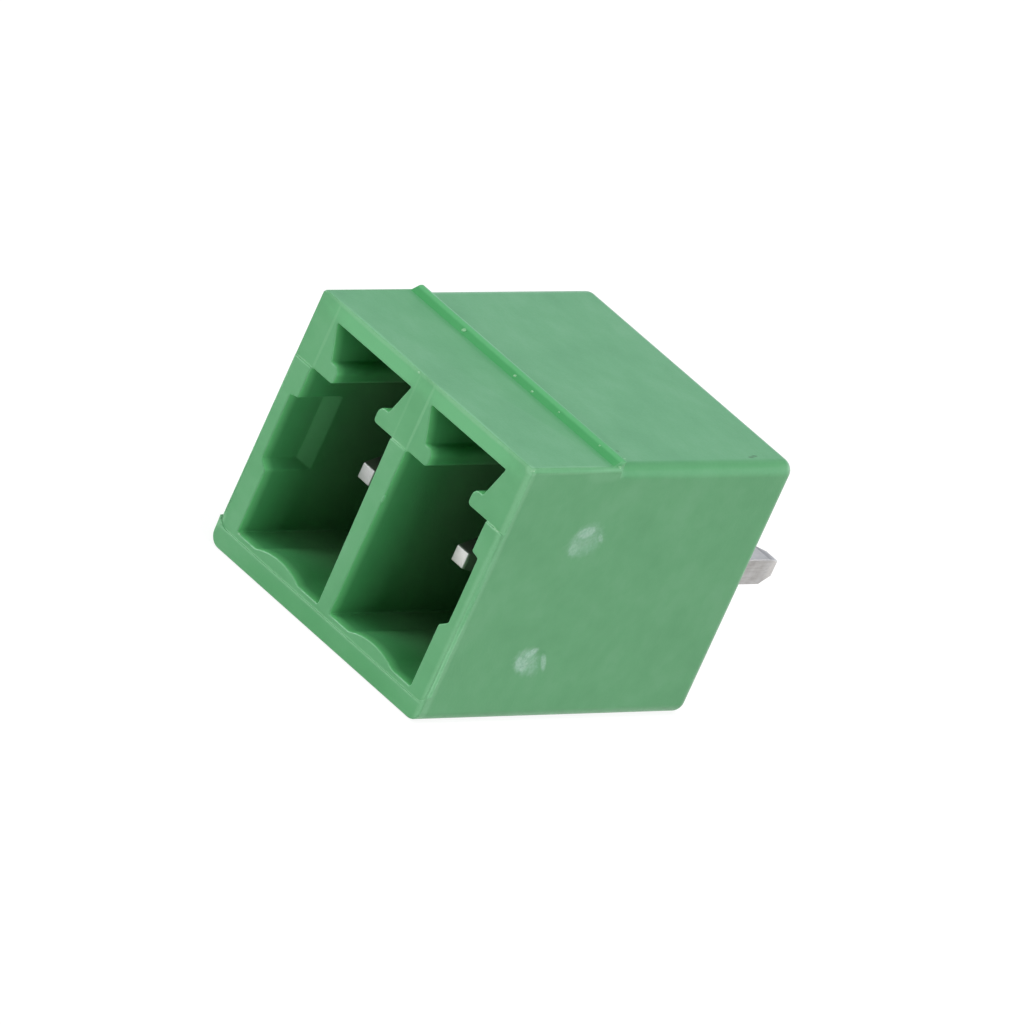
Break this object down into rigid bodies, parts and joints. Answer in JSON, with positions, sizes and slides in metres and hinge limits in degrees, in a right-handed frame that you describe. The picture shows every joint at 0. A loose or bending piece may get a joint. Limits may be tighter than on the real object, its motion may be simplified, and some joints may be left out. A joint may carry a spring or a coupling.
{
  "type": "pluggable terminal block pin header",
  "caption": "Straight board-mount pin header of a pluggable terminal block: a moulded housing with open plug chambers, dovetail slots and a latch ridge, holding square tinned pins.",
  "frame": {"origin": "In the flat board face at the back of the housing, midway between the axes of the solder tails.", "axes": "+Y out of the board face along the solder tails, so the mating face looks along -Y; +Z from the flat underside towards the latch ridge; +X along the row of poles towards the end with the gate marks."},
  "size_m": [0.0084, 0.0134, 0.0077],
  "materials": {
    "housing_plastic": "moulded green thermoplastic with a soft satin gloss",
    "tinned_contact": "satin tin plating over copper alloy"
  },
  "bodies": {
    "root": {"housing": "housing_plastic", "contact_pin_left": "tinned_contact", "contact_pin_right": "tinned_contact"}
  },
  "joints": []
}
